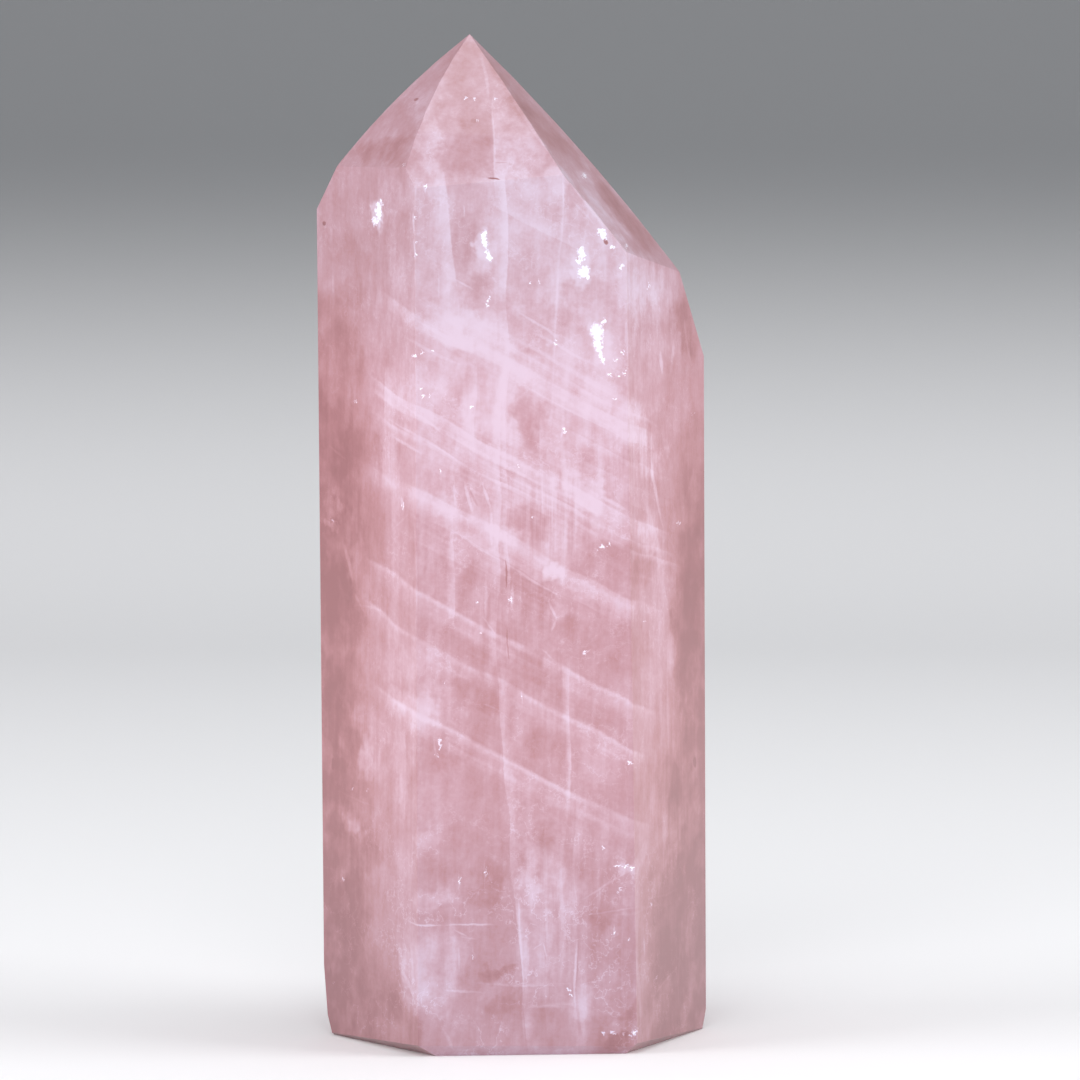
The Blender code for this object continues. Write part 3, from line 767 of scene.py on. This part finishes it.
def quartz_ring(number, low, high):
    """Milky rose quartz, with the marks that show between two heights."""
    m = Mix("rose_quartz_ring_%d" % number)
    bent = m.shifted(m.place, 2.4, 0.07, 1.0, 0.5, seed=1)
    bent = m.shifted(bent, 0.30, 1.1, 2.0, 0.6, seed=2)
    cloudy = m.shifted(m.place, 7.0, 0.20, 3.0, 0.7, seed=11)
    torn = m.shifted(m.place, 1.3, 2.4, 1.0, 0.6, seed=12)

    # Marks on the back are the front's turned round, and none crosses the turn
    axes = m.split(m.place)
    depth, height = axes["Y"], axes["Z"]
    side = m.ramp(depth, BACK_FROM - 0.1, BACK_FROM + 0.1, 1.0, -0.9)
    shown = m.ramp(m.math("ABSOLUTE", m.sub(depth, BACK_FROM)), 0.5, 5.0)

    def marks(place, rows, core=0.0):
        """Strength of the spots that may show in this ring."""
        rows = [row for row in rows if reaches(row, low, high)]
        if not rows:
            return 0.0
        axes = m.split(place)
        x, z = m.thrice(m.mul(axes["X"], side)), m.thrice(axes["Z"])
        return m.mul(m.spots(x, z, rows, core), shown)

    haze_and_shade = haze_and_shade_between(m, bent, low, high)
    patchy = m.ramp(m.noise(0.20, 2.0, 0.6, seed=8), 0.32, 0.60, 0.50, 1.20)
    grey = m.noise(0.13, 4.0, 0.62, seed=3)
    wisp = m.noise(1.0, 3.0, 0.60, stretch=(2.0, 2.0, 7.0), turn=12.0, seed=4)
    streak = m.noise(1.0, 3.0, 0.62, stretch=(0.9, 0.9, 20.0), seed=5)
    strand = m.noise(1.0, 2.0, 0.6, stretch=(14.0, 4.0, 0.65), turn=28.0, seed=7)
    grain = m.noise(1.6, 3.0, 0.7, seed=6)
    low_down = m.ramp(height, 8.0, 46.0, 1.0, 0.0)

    milk = m.madd(m.sub(grey, 0.5), 0.32, USUAL_MILK)
    milk = m.madd(m.sub(wisp, 0.5), 0.34, milk)
    milk = m.madd(m.sub(grain, 0.5), 0.22, milk)
    milk = m.madd(m.sub(streak, 0.5), m.add(marks(cloudy, STREAKY), 0.18), milk)
    milk = m.madd(m.sub(strand, 0.5), m.add(marks(cloudy, STRANDED), 0.06), milk)
    milk = m.madd(haze_and_shade, patchy, milk)
    milk = m.add(threads(m, low_down), milk)
    broken = m.ramp(m.noise(0.30, 2.0, 0.6, seed=13), 0.30, 0.68, 0.75, 1.25)
    milk = m.madd(marks(cloudy, CLOUDS), broken, milk)
    milk = m.add(milk, marks(bent, [stroke(*row) for row in STROKES]))
    # Dark specks and nicks, and the painted shadows of cracks
    milk = m.add(milk, marks(bent, SPECKS_AND_CRACK_SHADOWS, 0.3))
    # Painted shade by facet: each face is painted lighter or darker by the way it faces the light
    painted_facet_shade = m.node("ShaderNodeAttribute")
    painted_facet_shade.attribute_name = "painted_facet_shade"
    facet_axes = m.split(painted_facet_shade.outputs["Vector"])
    facet_shade_level, shade_warmth = facet_axes["X"], facet_axes["Y"]
    milk = m.madd(low_down, -0.04, milk)
    milk = m.math("SMOOTH_MIN", m.add(milk, facet_shade_level), MOST_MILK, 0.28)
    # Painted glints: open cracks and bubbles painted white where they catch the light
    painted_glint = m.math("MINIMUM", marks(torn, [(*row, 1.0) for row in CRACK_GLINTS], 0.15), 1.0)
    glint_strength = m.ramp(m.noise(2.2, 3.0, 0.7, seed=14), 0.32, 0.60, 0.30, 0.66)
    milk = m.madd(painted_glint, glint_strength, milk)

    m.link(rose_colour(m, milk, shade_warmth, height, low_down), m.shader.inputs["Base Color"])
    m.link(m.ramp(milk, 0.1, 0.8, 0.20, 0.05), m.shader.inputs["Transmission Weight"])
    m.shader.inputs["Roughness"].default_value = 0.32
    m.shader.inputs["IOR"].default_value = QUARTZ_IOR
    m.shader.inputs["Specular IOR Level"].default_value = 0.2
    m.shader.inputs["Coat Weight"].default_value = 0.6
    m.shader.inputs["Coat Roughness"].default_value = 0.04
    m.shader.inputs["Coat IOR"].default_value = 1.45
    return m.material


def edge_with_painted_highlight():
    """The narrow rounded edges: a little paler than the faces, a painted highlight where the polished
    edges catch the light, and a little clearer.
    """
    m = Mix("edge_painted_highlight")
    colour = m.colours(m.noise(0.4, 3.0, 0.6, seed=9), [
        (0.3, (0.62, 0.38, 0.43)),
        (0.7, (0.76, 0.55, 0.62)),
    ])
    m.link(colour, m.shader.inputs["Base Color"])
    m.shader.inputs["Roughness"].default_value = 0.25
    m.shader.inputs["Transmission Weight"].default_value = 0.2
    m.shader.inputs["IOR"].default_value = QUARTZ_IOR
    return m.material


# Studio

# The paper: the floor's size and back end, the bend behind it and the wall above (m)
FLOOR_SIZE = 5.0
FLOOR_BACK = 0.6
BEND_RADIUS = 0.7
WALL_HEIGHT = 2.0
BEND_STEPS = 20

# The camera's place and what it looks at (m)
CAMERA_PLACE = (0.0041, -0.8971, 0.1445)
CAMERA_TARGET = (0.0041, 0.0005, 0.07435)


def look_from(target, place, name, data):
    """A light or camera at its place, turned to its target."""
    item = bpy.data.objects.new(name, data)
    bpy.context.scene.collection.objects.link(item)
    item.location = place
    item.rotation_euler = (Vector(target) - Vector(place)).to_track_quat("-Z", "Y").to_euler()
    return item


def soft_light(name, place, target, size, power, colour=(1.0, 1.0, 1.0)):
    data = bpy.data.lights.new(name, "AREA")
    data.shape = "RECTANGLE"
    data.size, data.size_y = size
    data.energy = power
    data.color = colour
    return look_from(target, place, name, data)


def pale_sweep():
    """Pale floor that turns up into the wall behind in one wide curve."""
    bpy.ops.object.select_all(action="DESELECT")
    bpy.ops.mesh.primitive_plane_add(
        size=FLOOR_SIZE, location=(0.0, FLOOR_BACK - FLOOR_SIZE / 2, 0.0))
    sweep = bpy.context.object
    sweep.name = "studio_sweep"
    bpy.ops.object.transform_apply(location=True, rotation=True, scale=True)
    bpy.ops.object.mode_set(mode="EDIT")
    bpy.ops.mesh.select_all(action="DESELECT")
    bpy.ops.object.mode_set(mode="OBJECT")
    for edge in sweep.data.edges:
        edge.select = all(sweep.data.vertices[i].co.y > 0.0 for i in edge.vertices)
    bpy.ops.object.mode_set(mode="EDIT")
    bpy.ops.mesh.select_mode(type="EDGE")
    for step in range(BEND_STEPS):
        a, b = (math.radians(90.0 * k / BEND_STEPS) for k in (step, step + 1))
        back = BEND_RADIUS * (math.sin(b) - math.sin(a))
        rise = BEND_RADIUS * (math.cos(a) - math.cos(b))
        bpy.ops.mesh.extrude_region_move(TRANSFORM_OT_translate={"value": (0.0, back, rise)})
    bpy.ops.mesh.extrude_region_move(
        TRANSFORM_OT_translate={"value": (0.0, 0.0, WALL_HEIGHT)})
    bpy.ops.object.mode_set(mode="OBJECT")
    bpy.ops.object.shade_smooth_by_angle(angle=math.radians(30.0))
    # The paper is painted pale on the floor and darker up the wall: painted shade, where the wall falls
    # away from the lights
    m = Mix("paper_with_painted_shade")
    height = m.split(m.place)["Z"]
    m.link(m.colours(m.ramp(height, 6.0, 125.0), [
        (0.0, (0.87, 0.87, 0.885)), (1.0, (0.25, 0.255, 0.265))]), m.shader.inputs["Base Color"])
    m.shader.inputs["Roughness"].default_value = 0.7
    sweep.data.materials.append(m.material)


def studio():
    """Pale paper, the camera, four soft lights and an even pale sky."""
    pale_sweep()
    lens = bpy.data.cameras.new("camera")
    lens.lens = 200.0
    lens.sensor_width = 36.0
    lens.clip_start = 0.05
    lens.clip_end = 20.0
    camera = look_from(CAMERA_TARGET, CAMERA_PLACE, "camera", lens)
    bpy.context.scene.camera = camera
    soft_light("front_softbox", (-0.15, -0.90, 0.70), (0, 0, 0.07), (0.8, 0.6), 5.0)
    soft_light("left_softbox", (-0.95, -0.30, 0.35), (0, 0, 0.07), (0.6, 0.8), 6.6)
    soft_light("right_softbox", (0.95, -0.20, 0.35), (0, 0, 0.07), (0.6, 0.8), 7.6)
    soft_light("top_softbox", (0.10, 0.15, 1.0), (0, 0, 0.1), (0.7, 0.7), 2.5)
    world = bpy.data.worlds.new("studio")
    bpy.context.scene.world = world
    world.use_nodes = True
    sky = world.node_tree.nodes["Background"]
    sky.inputs["Color"].default_value = (0.82, 0.83, 0.85, 1.0)
    sky.inputs["Strength"].default_value = 0.55
    bpy.context.scene.view_settings.view_transform = "Standard"


def dress():
    """The finished stone takes the plain one's place."""
    stone = make_crystal()
    stone.data.materials.clear()
    for number, (low, high) in enumerate(zip(RINGS, RINGS[1:])):
        stone.data.materials.append(quartz_ring(number + 1, low, high))
    stone.data.materials.append(edge_with_painted_highlight())
    slot_faces(stone)
    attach(stone, "root")
    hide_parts("crystal")


dress()
studio()
